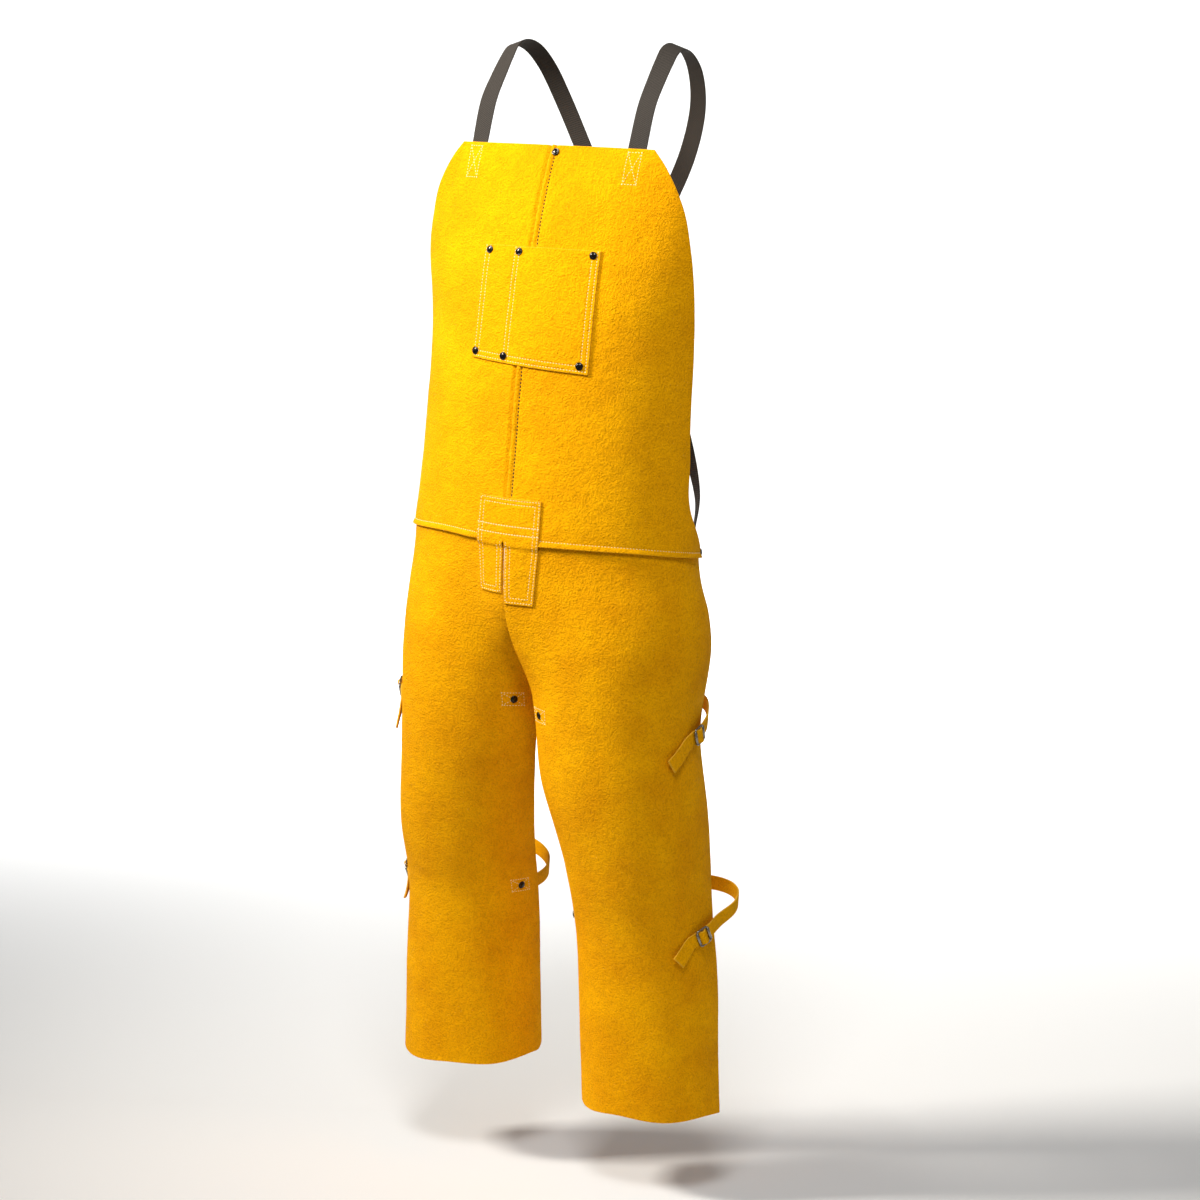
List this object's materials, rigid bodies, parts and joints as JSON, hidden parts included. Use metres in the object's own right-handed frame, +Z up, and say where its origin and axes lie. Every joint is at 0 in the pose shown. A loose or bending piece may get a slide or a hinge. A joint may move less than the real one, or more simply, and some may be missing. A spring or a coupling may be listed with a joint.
{
  "type": "split leg welding bib apron",
  "caption": "Golden split leather welding bib apron with split legs, chest pocket, crossed webbing shoulder straps and buckled leg straps, in its worn form.",
  "frame": {"origin": "midway between the tops of the two shoulder straps, where they lie on the shoulders", "axes": "-Y is the way the wearer faces, +X is the wearer's left, +Z is up"},
  "size_m": [0.4718, 0.3133, 1.3767],
  "materials": {
    "bib_leather": "suede, split side out",
    "leg_leather": "suede, split side out",
    "trim_leather": "suede, split side out",
    "webbing": "woven twill webbing",
    "steel": "plain steel wire buckle",
    "rivet_metal": "black nickel"
  },
  "bodies": {
    "root": {"bib_left": "bib_leather", "bib_right": "bib_leather", "chest_pocket": "trim_leather", "crotch_patch": "trim_leather", "leg_panel_left": "leg_leather", "shoulder_strap_left": "webbing", "leg_strap_left_thigh": "trim_leather", "buckle_left_thigh": "steel", "leg_strap_left_shin": "trim_leather", "buckle_left_shin": "steel", "leg_panel_right": "leg_leather", "shoulder_strap_right": "webbing", "leg_strap_right_thigh": "trim_leather", "buckle_right_thigh": "steel", "leg_strap_right_shin": "trim_leather", "buckle_right_shin": "steel", "rivet_pocket_1": "rivet_metal", "rivet_pocket_2": "rivet_metal", "rivet_pocket_3": "rivet_metal", "rivet_pocket_4": "rivet_metal", "rivet_pocket_5": "rivet_metal", "rivet_pocket_6": "rivet_metal", "rivet_left_thigh": "rivet_metal", "rivet_left_shin": "rivet_metal", "rivet_left_waist": "rivet_metal", "rivet_right_thigh": "rivet_metal", "rivet_right_shin": "rivet_metal", "rivet_right_waist": "rivet_metal", "rivet_bib_top": "rivet_metal"}
  },
  "joints": []
}
